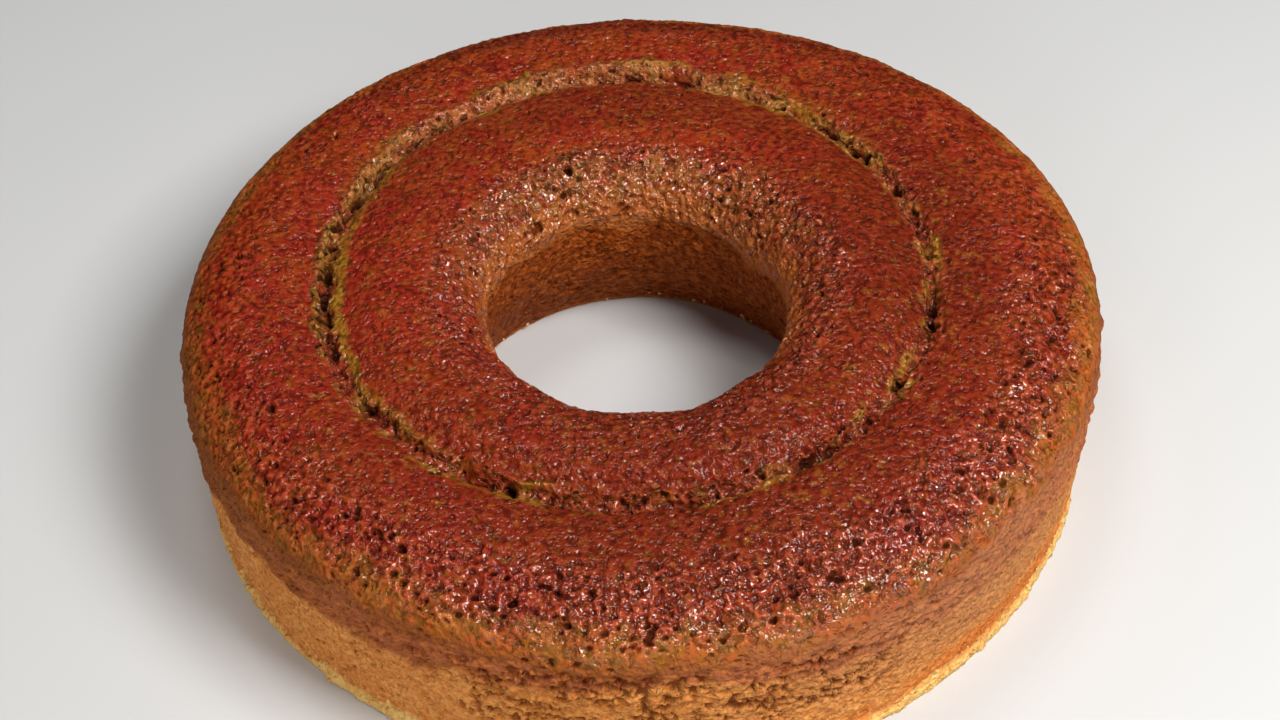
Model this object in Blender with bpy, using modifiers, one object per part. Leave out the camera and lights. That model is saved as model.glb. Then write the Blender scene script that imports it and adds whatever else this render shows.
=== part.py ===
"""A ring-shaped beetroot cake, right side up as it stood in its tube tin.

One solid of revolution, turned from its section and then made uneven as baking makes it:
two soft humps run round the top, with the crack of the rise between them, the outer wall
leans out to a rounded shoulder, and the hole narrows upwards. The front of the cake is
at -Y and up is +Z. The origin is at the middle of the flat underside. Lengths are in metres.
"""

import math

import bpy
from mathutils import Vector, noise

MM = 0.001

# The outer side: a low frayed lip, a wall that leans out, and a round shoulder to the hump.
LIP_RADIUS = 123.1 * MM
LIP_HEIGHT = 3.0 * MM
WALL_FOOT_RADIUS = 122.6 * MM
SIDE_RADIUS = 125.0 * MM
SIDE_TOP = 43.5 * MM
OUTER_CREST_RADIUS = 96.5 * MM
OUTER_CREST_HEIGHT = 55.7 * MM
OUTER_ROUNDNESS = 2.1

# The valley between the humps, and the open crack along its bottom.
VALLEY_RADIUS = 83.3 * MM
VALLEY_HEIGHT = 53.0 * MM
CRACK_HALF_WIDTH = 3.2 * MM
CRACK_DEPTH = 3.4 * MM

# The inner hump, its shoulder down into the hole, and the wall that the tin's tube left.
INNER_CREST_RADIUS = 64.0 * MM
INNER_CREST_HEIGHT = 58.2 * MM
INNER_ROUNDNESS = 2.35
THROAT_RADIUS = 40.8 * MM
THROAT_HEIGHT = 42.0 * MM
HOLE_FOOT_RADIUS = 54.0 * MM

# How far the valley's circle and the hole lie off the centre of the outer wall.
VALLEY_OFFSET = Vector((-3.7 * MM, 3.6 * MM))
HOLE_OFFSET = Vector((-1.3 * MM, -3.6 * MM))

# Slow waves round the ring: how many, how high, and the bearing of a crest in degrees.
OUTLINE_WAVES = ((2, 0.45 * MM, 38.0), (3, 0.80 * MM, 29.0), (4, 0.45 * MM, 22.0))
VALLEY_WAVES = ((2, 0.55 * MM, 94.0), (3, 0.40 * MM, 99.0), (5, 0.30 * MM, 0.0))

# Unevenness of baking: about how many swellings go round the ring, and their height.
TOP_LUMPS, TOP_LUMP_HEIGHT = 12, 0.9 * MM
WALL_LUMPS, WALL_LUMP_HEIGHT = 16, 0.4 * MM
THROAT_LOBES, THROAT_LOBE_HEIGHT = 14, 1.1 * MM
CRACK_BENDS, CRACK_BEND_WIDTH = 22, 0.9 * MM
CRACK_HOLES, CRACK_LEAST_DEPTH = 40, 0.35
LIP_TEETH, LIP_TOOTH_DEPTH = 48, 0.8 * MM

# How fast the top's, the wall's and the hole's lumps change from place to place, per metre.
TOP_LUMP_CHANGE = 18.0
SIDE_LUMP_CHANGE = 30.0

# Faces: steps round the ring, and points along each stretch of the section.
RING_STEPS = 144
WALL_POINTS = 5
SHOULDER_POINTS = 7
FLANK_POINTS = 4
CRACK_POINTS = 4
TUBE_WALL_POINTS = 5

CRUST_EDGE_HEIGHT = 37.0 * MM
CRUST_COLOUR = (0.330, 0.050, 0.020, 1.0)
CRUMB_COLOUR = (0.440, 0.190, 0.065, 1.0)


def blend(low, high, value):
    """0 below low, 1 above high, and a smooth rise between them."""
    t = min(max((value - low) / (high - low), 0.0), 1.0)
    return t * t * (3.0 - 2.0 * t)


def ring_noise(azimuth, waves, layer):
    """Smooth noise of about -1 to 1 with this many swellings round the ring, where it closes."""
    radius = waves / math.tau
    place = Vector((radius * math.cos(azimuth), radius * math.sin(azimuth), layer))
    return 1.6 * noise.noise(place)


def waves_at(waves, azimuth):
    """The sum of slow waves at a bearing."""
    return sum(high * math.cos(count * (azimuth - math.radians(bearing)))
               for count, high, bearing in waves)


def quarter_round(start, crest, roundness):
    """A rounded quarter from a vertical tangent at start to just short of the level crest."""
    for i in range(SHOULDER_POINTS):
        angle = 0.5 * math.pi * i / SHOULDER_POINTS
        across = math.cos(angle) ** (2.0 / roundness)
        up = math.sin(angle) ** (2.0 / roundness)
        yield (crest[0] + (start[0] - crest[0]) * across,
               start[1] + (crest[1] - start[1]) * up)


def hump_point(crest, radius):
    """A point between a crest and the valley, where each hump falls ever faster."""
    t = (radius - crest[0]) / (VALLEY_RADIUS - crest[0])
    return (radius, crest[1] - (crest[1] - VALLEY_HEIGHT) * t * t)


def hump_flank(crest, crack_edge):
    """Points down a hump, from its crest to the edge of the crack and on to its middle."""
    for i in range(FLANK_POINTS):
        yield hump_point(crest, crest[0] + (crack_edge - crest[0]) * i / FLANK_POINTS)
    for i in range(CRACK_POINTS // 2):
        t = i / (CRACK_POINTS // 2)
        yield hump_point(crest, crack_edge + (VALLEY_RADIUS - crack_edge) * t)


def section():
    """The ring's section as (radius, height) points: up outside, over the top, down the hole."""
    outer_crest = (OUTER_CREST_RADIUS, OUTER_CREST_HEIGHT)
    inner_crest = (INNER_CREST_RADIUS, INNER_CREST_HEIGHT)
    points = [(LIP_RADIUS, 0.0), (LIP_RADIUS, 0.6 * LIP_HEIGHT)]
    for i in range(WALL_POINTS):
        t = i / WALL_POINTS
        lean = (SIDE_RADIUS - WALL_FOOT_RADIUS) * math.sin(0.5 * math.pi * t)
        points.append((WALL_FOOT_RADIUS + lean, LIP_HEIGHT + (SIDE_TOP - LIP_HEIGHT) * t))
    points += quarter_round((SIDE_RADIUS, SIDE_TOP), outer_crest, OUTER_ROUNDNESS)
    points += hump_flank(outer_crest, VALLEY_RADIUS + CRACK_HALF_WIDTH)
    points.append((VALLEY_RADIUS, VALLEY_HEIGHT))
    points += reversed(list(hump_flank(inner_crest, VALLEY_RADIUS - CRACK_HALF_WIDTH)))
    points += reversed(list(quarter_round((THROAT_RADIUS, THROAT_HEIGHT), inner_crest,
                                          INNER_ROUNDNESS)))
    for i in range(1, TUBE_WALL_POINTS + 1):
        t = i / TUBE_WALL_POINTS
        flare = (HOLE_FOOT_RADIUS - THROAT_RADIUS) * (1.0 - math.cos(0.5 * math.pi * t))
        points.append((THROAT_RADIUS + flare, THROAT_HEIGHT * (1.0 - t)))
    return points


def turned_mesh(points):
    """The section turned once round the Z axis by a Screw modifier, as a closed mesh."""
    edges = [(i, (i + 1) % len(points)) for i in range(len(points))]
    outline = bpy.data.meshes.new("section")
    outline.from_pydata([(radius, 0.0, height) for radius, height in points], edges, [])
    turned = bpy.data.objects.new("section", outline)
    bpy.context.scene.collection.objects.link(turned)
    screw = turned.modifiers.new("turn", "SCREW")
    screw.axis = "Z"
    screw.angle = math.tau
    screw.steps = RING_STEPS
    screw.render_steps = RING_STEPS
    screw.use_merge_vertices = True
    screw.merge_threshold = 0.05 * MM
    screw.use_normal_flip = True
    evaluated = turned.evaluated_get(bpy.context.evaluated_depsgraph_get())
    mesh = bpy.data.meshes.new_from_object(evaluated)
    bpy.data.objects.remove(turned)
    return mesh


def crack_drop(azimuth, radius):
    """How far the top drops into the crack: a V whose depth changes along the crack."""
    from_middle = abs(radius - VALLEY_RADIUS) / CRACK_HALF_WIDTH
    if from_middle >= 1.0:
        return 0.0
    openness = 0.5 + 0.5 * ring_noise(azimuth, CRACK_HOLES, 1.0)
    share = CRACK_LEAST_DEPTH + (1.0 - CRACK_LEAST_DEPTH) * min(max(openness, 0.0), 1.0)
    return CRACK_DEPTH * share * (1.0 - from_middle)


def baked_place(point):
    """Where a point of the even ring lies once the cake has risen and browned unevenly."""
    azimuth = math.atan2(point.y, point.x)
    radius = math.hypot(point.x, point.y)
    height = point.z
    on_top = blend(SIDE_TOP, OUTER_CREST_HEIGHT, height)
    outside = blend(VALLEY_RADIUS, SIDE_RADIUS, radius)
    inside = 1.0 - blend(INNER_CREST_RADIUS, VALLEY_RADIUS, radius)
    in_valley = 1.0 - outside - inside
    in_hole = 1.0 - blend(THROAT_RADIUS, INNER_CREST_RADIUS, radius)
    on_wall = 1.0 if radius > OUTER_CREST_RADIUS and height < SIDE_TOP else 0.0
    on_lip = 1.0 if on_wall and height < LIP_HEIGHT else 0.0

    lump = ring_noise(azimuth, TOP_LUMPS, 2.0 + TOP_LUMP_CHANGE * radius)
    risen = height + on_top * (TOP_LUMP_HEIGHT * lump - crack_drop(azimuth, radius))

    moved = radius + outside * waves_at(OUTLINE_WAVES, azimuth)
    bend = CRACK_BEND_WIDTH * ring_noise(azimuth, CRACK_BENDS, 4.0)
    moved += in_valley * on_top * (waves_at(VALLEY_WAVES, azimuth) + bend)
    side_layer = 5.0 + SIDE_LUMP_CHANGE * height
    moved += in_hole * THROAT_LOBE_HEIGHT * ring_noise(azimuth, THROAT_LOBES, side_layer)
    moved += on_wall * WALL_LUMP_HEIGHT * ring_noise(azimuth, WALL_LUMPS, side_layer)
    moved += on_lip * LIP_TOOTH_DEPTH * ring_noise(azimuth, LIP_TEETH, 7.0)

    offset = in_valley * VALLEY_OFFSET + inside * HOLE_OFFSET
    return Vector((moved * math.cos(azimuth) + offset.x,
                   moved * math.sin(azimuth) + offset.y, risen))


def centre_on_origin(mesh):
    """Moves the mesh so that its extent is centred on the Z axis."""
    for axis in (0, 1):
        values = [vertex.co[axis] for vertex in mesh.vertices]
        middle = 0.5 * (min(values) + max(values))
        for vertex in mesh.vertices:
            vertex.co[axis] -= middle


def baked_material(name, colour, roughness):
    """A plain surface of one colour."""
    material = bpy.data.materials.new(name)
    material.use_nodes = True
    shader = material.node_tree.nodes["Principled BSDF"]
    shader.inputs["Base Color"].default_value = colour
    shader.inputs["Roughness"].default_value = roughness
    shader.inputs["Metallic"].default_value = 0.0
    return material


def colour_crust_and_crumb(mesh):
    """The top is glossy crust; the sides that lay against the tin and the foot are crumb."""
    mesh.materials.append(baked_material("glossy_crust", CRUST_COLOUR, 0.35))
    mesh.materials.append(baked_material("side_crumb", CRUMB_COLOUR, 0.85))
    for face in mesh.polygons:
        face.material_index = 0 if face.center.z > CRUST_EDGE_HEIGHT else 1


def build():
    """Makes the cake in a collection named for it."""
    for old in list(bpy.data.objects):
        bpy.data.objects.remove(old)
    collection = bpy.data.collections.new("beetroot_cake")
    bpy.context.scene.collection.children.link(collection)

    mesh = turned_mesh(section())
    mesh.name = "cake"
    for vertex in mesh.vertices:
        vertex.co = baked_place(vertex.co)
    centre_on_origin(mesh)
    colour_crust_and_crumb(mesh)
    mesh.shade_smooth()
    mesh.set_sharp_from_angle(angle=math.radians(60.0))
    collection.objects.link(bpy.data.objects.new("cake", mesh))


build()
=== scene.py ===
"""The looks of the ring-shaped beetroot cake: its fine baked surface, crumbs, materials and light.

The form is the solid's own: the same section turned round Z, made uneven by the same slow waves.
On it lie the torn crack between the humps, pits, pores, burst bubbles, blisters, fissures, the
wall's open crumb and the frayed lip, all pushed along the surface's normals on one grid of
bearings and section rows. Crumbs cling to the foot.
A "place" is a length along the section, from the outer foot up over the top and down the hole.
Bearings are in degrees from +X towards +Y, so the front is at -90. Lengths are in millimetres
until the meshes are made; the frame is in metres. A noise's seed or layer number only tells it
from the others.
"""

import itertools
import math

import bpy
import numpy as np
from mathutils import Matrix, Vector, noise


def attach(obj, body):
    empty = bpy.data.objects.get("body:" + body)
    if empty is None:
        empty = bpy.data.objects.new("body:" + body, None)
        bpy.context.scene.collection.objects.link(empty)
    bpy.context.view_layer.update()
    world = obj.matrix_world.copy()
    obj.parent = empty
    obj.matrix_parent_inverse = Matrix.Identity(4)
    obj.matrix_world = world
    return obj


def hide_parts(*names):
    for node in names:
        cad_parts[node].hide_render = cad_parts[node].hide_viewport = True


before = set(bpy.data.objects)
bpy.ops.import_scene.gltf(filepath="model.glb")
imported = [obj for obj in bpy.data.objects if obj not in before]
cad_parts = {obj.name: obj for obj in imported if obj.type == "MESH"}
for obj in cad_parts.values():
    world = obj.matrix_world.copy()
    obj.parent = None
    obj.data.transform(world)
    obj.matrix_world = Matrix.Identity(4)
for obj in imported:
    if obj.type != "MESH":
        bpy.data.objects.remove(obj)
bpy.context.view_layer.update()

MM = 0.001

# ---------------------------------------------------------------- the form, as in the solid

LIP_RADIUS = 123.1
LIP_HEIGHT = 3.0
WALL_FOOT_RADIUS = 122.6
SIDE_RADIUS = 125.0
SIDE_TOP = 43.5
OUTER_CREST = (96.5, 55.7)
OUTER_ROUNDNESS = 2.1
VALLEY = (83.3, 53.0)
CRACK_HALF_WIDTH = 3.2
CRACK_DEPTH = 3.4
INNER_CREST = (64.0, 58.2)
INNER_ROUNDNESS = 2.35
THROAT = (40.8, 42.0)
HOLE_FOOT_RADIUS = 54.0

VALLEY_OFFSET = (-3.7, 3.6)
HOLE_OFFSET = (-1.3, -3.6)

OUTLINE_WAVES = ((2, 0.45, 38.0), (3, 0.80, 29.0), (4, 0.45, 22.0))
VALLEY_WAVES = ((2, 0.55, 94.0), (3, 0.40, 99.0), (5, 0.30, 0.0))
TOP_LUMPS, TOP_LUMP_HEIGHT, TOP_LUMP_CHANGE = 12, 0.9, 0.018
WALL_LUMPS, WALL_LUMP_HEIGHT = 16, 0.4
THROAT_LOBES, THROAT_LOBE_HEIGHT = 14, 1.1
SIDE_LUMP_CHANGE = 0.030
CRACK_BENDS, CRACK_BEND_WIDTH = 22, 0.9
CRACK_HOLES, CRACK_LEAST_DEPTH = 40, 0.35

# The grid: columns round the ring, and the distance between rows along each stretch.
COLUMNS = 1600
WALL_ROW, TOP_ROW, HOLE_ROW, BASE_ROW = 0.55, 0.40, 0.90, 3.0


def blend(low, high, value):
    """0 below low, 1 above high, and a smooth rise between them."""
    t = np.clip((value - low) / (high - low), 0.0, 1.0)
    return t * t * (3.0 - 2.0 * t)


def between(low, high, soft, value):
    """1 from low to high and 0 outside, with borders this soft."""
    return blend(low - soft, low + soft, value) * (1.0 - blend(high - soft, high + soft, value))


def toward(azimuth, bearing, width):
    """1 at a bearing, falling smoothly to 0 this many degrees away on each side."""
    away = (np.degrees(azimuth) - bearing + 180.0) % 360.0 - 180.0
    return 1.0 - blend(0.0, width, np.abs(away))


def ring_noise(azimuth, waves, layer):
    """Smooth noise of about -1 to 1 with this many swellings round the ring, where it closes."""
    radius = waves / math.tau
    x, y, z = np.broadcast_arrays(radius * np.cos(azimuth), radius * np.sin(azimuth), layer)
    places = np.stack([x, y, z], axis=-1).reshape(-1, 3).tolist()
    return 1.6 * np.array([noise.noise(place) for place in places]).reshape(x.shape)


def waves_at(waves, azimuth):
    """The sum of slow waves at a bearing."""
    return sum(high * np.cos(count * (azimuth - math.radians(bearing)))
               for count, high, bearing in waves)


def quarter_round(start, crest, roundness):
    """A rounded quarter from a vertical tangent at start to the level crest."""
    angle = np.linspace(0.0, 0.5 * math.pi, 300)
    across = np.cos(angle).clip(0.0) ** (2.0 / roundness)
    up = np.sin(angle) ** (2.0 / roundness)
    return np.stack([crest[0] + (start[0] - crest[0]) * across,
                     start[1] + (crest[1] - start[1]) * up], axis=1)


def hump_flank(crest):
    """From a crest to the valley, falling ever faster."""
    t = np.linspace(0.0, 1.0, 100)
    return np.stack([crest[0] + (VALLEY[0] - crest[0]) * t,
                     crest[1] - (crest[1] - VALLEY[1]) * t * t], axis=1)


def outer_wall():
    """The low lip and the wall that leans out above it."""
    t = np.linspace(0.0, 1.0, 100)
    lean = (SIDE_RADIUS - WALL_FOOT_RADIUS) * np.sin(0.5 * math.pi * t)
    wall = np.stack([WALL_FOOT_RADIUS + lean, LIP_HEIGHT + (SIDE_TOP - LIP_HEIGHT) * t], axis=1)
    lip = np.array([[LIP_RADIUS, 0.0], [LIP_RADIUS, 0.6 * LIP_HEIGHT]])
    return np.concatenate([lip, wall])


def tube_wall():
    """The hole's wall, from the throat down to the wider foot."""
    t = np.linspace(0.0, 1.0, 100)
    flare = (HOLE_FOOT_RADIUS - THROAT[0]) * (1.0 - np.cos(0.5 * math.pi * t))
    return np.stack([THROAT[0] + flare, THROAT[1] * (1.0 - t)], axis=1)


def evenly(stretch, spacing):
    """Rows this far apart along a closely given stretch, without its last point."""
    steps = np.hypot(*np.diff(stretch, axis=0).T)
    along = np.concatenate([[0.0], np.cumsum(steps)])
    rows = np.linspace(0.0, along[-1], max(round(along[-1] / spacing), 1), endpoint=False)
    return np.stack([np.interp(rows, along, stretch[:, k]) for k in (0, 1)], axis=1)


def section_rows():
    """The whole section as rows of (radius, height), once round from the outer foot."""
    inner_shoulder = quarter_round(THROAT, INNER_CREST, INNER_ROUNDNESS)
    base = np.array([[HOLE_FOOT_RADIUS, 0.0], [LIP_RADIUS, 0.0]])
    return np.concatenate([
        evenly(outer_wall(), WALL_ROW),
        evenly(quarter_round((SIDE_RADIUS, SIDE_TOP), OUTER_CREST, OUTER_ROUNDNESS), TOP_ROW),
        evenly(hump_flank(OUTER_CREST), TOP_ROW),
        evenly(hump_flank(INNER_CREST)[::-1], TOP_ROW),
        evenly(inner_shoulder[::-1], TOP_ROW),
        evenly(tube_wall(), HOLE_ROW),
        evenly(base, BASE_ROW),
    ])


def baked_places(azimuth, radius, height):
    """Where the even ring's points lie once the cake has risen and browned unevenly."""
    on_top = blend(SIDE_TOP, OUTER_CREST[1], height)
    outside = blend(VALLEY[0], SIDE_RADIUS, radius)
    inside = 1.0 - blend(INNER_CREST[0], VALLEY[0], radius)
    in_valley = 1.0 - outside - inside
    in_hole = 1.0 - blend(THROAT[0], INNER_CREST[0], radius)
    on_wall = blend(OUTER_CREST[0], SIDE_RADIUS, radius) * (1.0 - blend(36.0, 50.0, height))

    lump = ring_noise(azimuth, TOP_LUMPS, 2.0 + TOP_LUMP_CHANGE * radius)
    risen = height + on_top * TOP_LUMP_HEIGHT * lump

    side_lump = ring_noise(azimuth, WALL_LUMPS, 5.0 + SIDE_LUMP_CHANGE * height)
    throat_lobe = ring_noise(azimuth, THROAT_LOBES, 5.0 + SIDE_LUMP_CHANGE * height)
    bend = CRACK_BEND_WIDTH * ring_noise(azimuth, CRACK_BENDS, 4.0)
    moved = radius + outside * waves_at(OUTLINE_WAVES, azimuth)
    moved = moved + in_valley * on_top * (waves_at(VALLEY_WAVES, azimuth) + bend)
    moved = moved + in_hole * THROAT_LOBE_HEIGHT * throat_lobe
    moved = moved + on_wall * WALL_LUMP_HEIGHT * side_lump

    x = moved * np.cos(azimuth) + in_valley * VALLEY_OFFSET[0] + inside * HOLE_OFFSET[0]
    y = moved * np.sin(azimuth) + in_valley * VALLEY_OFFSET[1] + inside * HOLE_OFFSET[1]
    x = x - 0.5 * (x.min() + x.max())
    y = y - 0.5 * (y.min() + y.max())
    return np.stack([x, y, risen], axis=-1)


class Ring:
    """The cake's surface as a grid of section rows and bearings, both of them closed."""

    def __init__(self):
        rows = section_rows()
        steps = np.hypot(*np.diff(rows, axis=0).T)
        self.place = np.concatenate([[0.0], np.cumsum(steps)])[:, None]
        self.length = self.place[-1, 0] + BASE_ROW
        self.radius = rows[:, :1]
        self.height = rows[:, 1:]
        self.azimuth = np.linspace(-math.pi, math.pi, COLUMNS, endpoint=False)[None, :]
        self.points = baked_places(self.azimuth, self.radius, self.height)
        round_ring = np.roll(self.points, -1, axis=1) - np.roll(self.points, 1, axis=1)
        along = np.roll(self.points, -1, axis=0) - np.roll(self.points, 1, axis=0)
        normals = np.cross(round_ring, along)
        self.normals = normals / np.linalg.norm(normals, axis=-1, keepdims=True)

    def place_of(self, radius, height):
        """The place of the row nearest to a point of the section."""
        away = np.hypot(self.radius - radius, self.height - height)
        return float(self.place[np.argmin(away), 0])


# ---------------------------------------------------------------- stretches and arcs

# Stretches of the section: first and last place.
OPEN_CRUMB = (15.0, 41.5)
BROWNED_FOLDS = (30.0, 42.0)
WALL_FADES = (42.0, 50.0)
CRUST = (47.0, 141.0)
PITTED_BAND = (49.0, 69.0)
INNER_SHOULDER = (118.0, 141.0)
HOLE_WALL = (139.0, 187.0)
INNER_FLANK = (93.0, 108.0)

# Arcs of the ring: the middle bearing, and how many degrees away on each side it has faded out.
COARSE_FRONT = (-72.0, 125.0)
OPEN_FRONT = (-88.0, 46.0)
COARSE_SHOULDER = (85.0, 150.0)
TEAR_BEHIND, TEAR_IN_FRONT, TEAR_AT_LEFT = (100.0, 80.0), (-105.0, 85.0), (188.0, 65.0)
HIGH_LIP_RIGHT, HIGH_LIP_LEFT = (-50.0, 32.0), (-128.0, 26.0)
RIGHT, LEFT, RUSTY_BACK = (-25.0, 60.0), (-165.0, 70.0), (120.0, 110.0)
# Darker crust: baked darker in front; painted shade at the right, on the shoulder behind and as a
# shadow line on the flank behind.
DARK_FRONT, SHADE_RIGHT = (-70.0, 120.0), (5.0, 80.0)
SHADE_BACK_SHOULDER, SHADOW_BACK_FLANK = (92.0, 80.0), (80.0, 90.0)
# The shaded wall's arc carries painted shade on the wall at the right front.
SHADED_WALL, LATE_CRUST = (-48.0, 46.0), (-52.0, 40.0)
HIGH_BORDER, TAN_SHOULDER = (-88.0, 32.0), (95.0, 125.0)
DULL_RIGHT, DULL_FRONT, PALE_AND_LIT_CRUMBS = (20.0, 85.0), (-72.0, 60.0), (100.0, 100.0)


# ------------------------------------------------------------------------- noise in space

# Turns the noise's grid askew, so that its cells don't line up with the cake.
TILT = np.array(Matrix.Rotation(0.7, 3, "X") @ Matrix.Rotation(0.9, 3, "Y")
                @ Matrix.Rotation(0.5, 3, "Z"))


def cell_numbers(cells, seed):
    """A fixed number from 0 to 1 for each whole-number cell of space."""
    mixed = cells[..., 0] * 73856093 ^ cells[..., 1] * 19349663 ^ cells[..., 2] * 83492791
    mixed = (mixed ^ seed * 265443576) & 0xFFFFFFFF
    mixed = (mixed ^ mixed >> 15) * 1274126177 & 0xFFFFFFFF
    mixed = (mixed ^ mixed >> 13) * 668265263 & 0xFFFFFFFF
    return ((mixed ^ mixed >> 16) & 0xFFFF) / 65536.0


def soft_noise(points, size, seed):
    """Smooth noise of -1 to 1, whose swellings are about this many millimetres across."""
    grid = points @ TILT / size
    base = np.floor(grid)
    ease = grid - base
    ease = ease * ease * (3.0 - 2.0 * ease)
    base = base.astype(np.int64)
    total = 0.0
    for corner in itertools.product((0, 1), repeat=3):
        weight = 1.0
        for axis, far in enumerate(corner):
            weight = weight * (ease[..., axis] if far else 1.0 - ease[..., axis])
        total = total + weight * cell_numbers(base + np.array(corner), seed)
    return 2.0 * total - 1.0


def rough_noise(points, size, seed, layers=3):
    """Soft noise with finer noise on it."""
    total = 0.0
    for layer in range(layers):
        total = total + soft_noise(points, size / 2.0**layer, seed + layer) / 2.0**layer
        points = points @ TILT
    return total


def ridges(points, size, seed):
    """Narrow winding ridges of 0 to 1 on lower ground."""
    return np.clip(1.0 - 3.0 * np.abs(soft_noise(points, size, seed)), 0.0, 1.0)


def blisters(points, size, seed):
    """Rounded bumps of 0 to 1 with sharp creases between them."""
    return np.abs(soft_noise(points, size, seed)) * 1.6


def strewn(points, size, seed):
    """The distance to the nearest of spots strewn about this far apart, in that measure."""
    grid = points @ TILT / size
    base = np.floor(grid).astype(np.int64)
    nearest = np.full(grid.shape[:-1], 9.0)
    for step in itertools.product((-1, 0, 1), repeat=3):
        cell = base + np.array(step)
        spot = np.stack([cell_numbers(cell, seed + axis) for axis in range(3)], axis=-1)
        nearest = np.minimum(nearest, np.linalg.norm(cell + spot - grid, axis=-1))
    return nearest


def knobs(points, size, seed):
    """Separate round crumbs of 0 to 1, strewn about this far apart, with gaps of 0 between."""
    return np.sqrt(np.clip(1.0 - (strewn(points, size, seed) / 0.85) ** 2, 0.0, 1.0))


def bowls(points, size, seed):
    """Burst bubbles: hollows of 0 to 1, strewn about this far apart, with sharp rims."""
    uneven = points + 0.25 * size * soft_noise(points, 0.7 * size, seed + 5)[..., None]
    return np.clip(1.0 - (strewn(uneven, size, seed) / 0.62) ** 2, 0.0, 1.0)


# ---------------------------------------------------------------------- the torn crack

CRACK_FINE_BENDS, CRACK_FINE_BEND_WIDTH = 74, 0.5
CRACK_TEARS, CRACK_TEAR_WIDTH = 34, 0.8
BACK_RIM_HEIGHT, SIDE_RIM_HEIGHT, FRONT_RIM_HEIGHT = 1.2, 0.3, 0.7
CRACK_FILL = 0.30
GAP_DEPTH, GAP_HALF_WIDTH = 2.2, 0.9
CRUMB_HEIGHT, CRUMB_SINK = 2.1, 0.9
LARGE_CRUMB, SMALL_CRUMB = 2.3, 1.5


def crack_relief(ring, valley):
    """How the crack pushes the surface, and its shares: torn, deep (painted shade in gaps and between
    crumbs), olive and crumb tops (pale crumb, partly a painted highlight).
    """
    azimuth = ring.azimuth
    middle = valley + CRACK_FINE_BEND_WIDTH * ring_noise(azimuth, CRACK_FINE_BENDS, 8.0)
    half_width = CRACK_HALF_WIDTH + CRACK_TEAR_WIDTH * ring_noise(azimuth, CRACK_TEARS, 9.0)
    inward = ring.place - middle + 0.9 * rough_noise(ring.points, 3.0, 70, 2)
    across = np.abs(inward) / half_width

    openness = np.clip(0.5 + 0.5 * ring_noise(azimuth, CRACK_HOLES, 1.0), 0.0, 1.0)
    share = CRACK_LEAST_DEPTH + (1.0 - CRACK_LEAST_DEPTH) * openness
    banks = 1.0 - blend(-0.25, 1.35, across)
    drop = CRACK_DEPTH * (1.0 - CRACK_FILL) * share * banks

    # The back and front stretches tear on one bank only: the outer one behind, the inner before.
    back = toward(azimuth, *TEAR_BEHIND)
    front = toward(azimuth, *TEAR_IN_FRONT)
    side = 1.0 - np.maximum(back, front)
    left = toward(azimuth, *TEAR_AT_LEFT)
    torn_middle = 1.9 * front - 2.5 * back - 1.4 * left
    torn_width = 2.7 + 0.9 * back + 0.4 * left + 1.2 * soft_noise(ring.points, 6.0, 71)
    torn = 1.0 - blend(0.6, 1.4, np.abs(inward - torn_middle) / torn_width)
    torn = torn * blend(-0.7, 0.1, soft_noise(ring.points, 9.0, 72) + 0.3 * side + 0.5 * left)

    # Narrow open gaps at the torn bank's foot, longer at the two sides.
    opened = 0.6 * openness + 0.6 * soft_noise(ring.points, 3.4, 73) + 0.20 * side
    gap_width = GAP_HALF_WIDTH * (1.0 + 0.5 * soft_noise(ring.points, 3.0, 76))
    gap = blend(0.34, 0.80, opened) * (1.0 - blend(0.4, 1.3, np.abs(inward + 0.3) / gap_width))

    outer_rim = (SIDE_RIM_HEIGHT + (BACK_RIM_HEIGHT - SIDE_RIM_HEIGHT) * back) * (1.0 - front)
    inner_rim = SIDE_RIM_HEIGHT + (FRONT_RIM_HEIGHT - SIDE_RIM_HEIGHT) * front
    lumpy = 0.7 + 0.5 * rough_noise(ring.points, 3.2, 80, 2)
    bank_out = blend(-10.0, -4.5, inward) * (1.0 - blend(-3.6, -1.2, inward))
    bank_in = blend(1.2, 3.4, inward) * (1.0 - blend(3.8, 8.0, inward))
    rims = (outer_rim * bank_out + inner_rim * (1.0 - 0.7 * back) * bank_in) * lumpy

    bumpy = 0.7 * knobs(ring.points, LARGE_CRUMB, 90) + 0.3 * knobs(ring.points, SMALL_CRUMB, 94)
    crumbs = torn * (CRUMB_HEIGHT * bumpy - CRUMB_SINK)

    # Olive on the smooth bank, on the outer edge behind, in patches of the tear and at the left.
    patchy = soft_noise(ring.points, 8.0, 74) + 0.5 * soft_noise(ring.points, 3.0, 75)
    smooth_side = np.where(inward > 0.0, back, front) + side
    olive = between(0.8, 3.6, 1.2, np.abs(inward)) * np.clip(smooth_side + 0.15, 0.0, 1.0)
    outer_edge = back * between(-6.8, -4.6, 1.0, inward)
    olive = np.maximum(olive, outer_edge) * blend(-0.25, 0.35, patchy)
    olive = np.maximum(olive, 0.8 * torn * blend(0.25, 0.60, patchy))
    olive = np.maximum(olive, left * between(2.4, 5.0, 0.9, inward))

    # Painted shade in the open gaps, down the banks and between the torn crumbs.
    deep = np.maximum(gap, 0.25 * banks * share)
    dark_from = 0.30 + 0.20 * left
    deep = np.maximum(deep, 0.95 * torn * (1.0 - blend(dark_from, dark_from + 0.55, bumpy)))
    push = rims + crumbs * (1.0 - gap) - drop - GAP_DEPTH * gap
    return push, torn, deep, olive, torn * bumpy


# ---------------------------------------------------------------------- pits and pores

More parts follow.
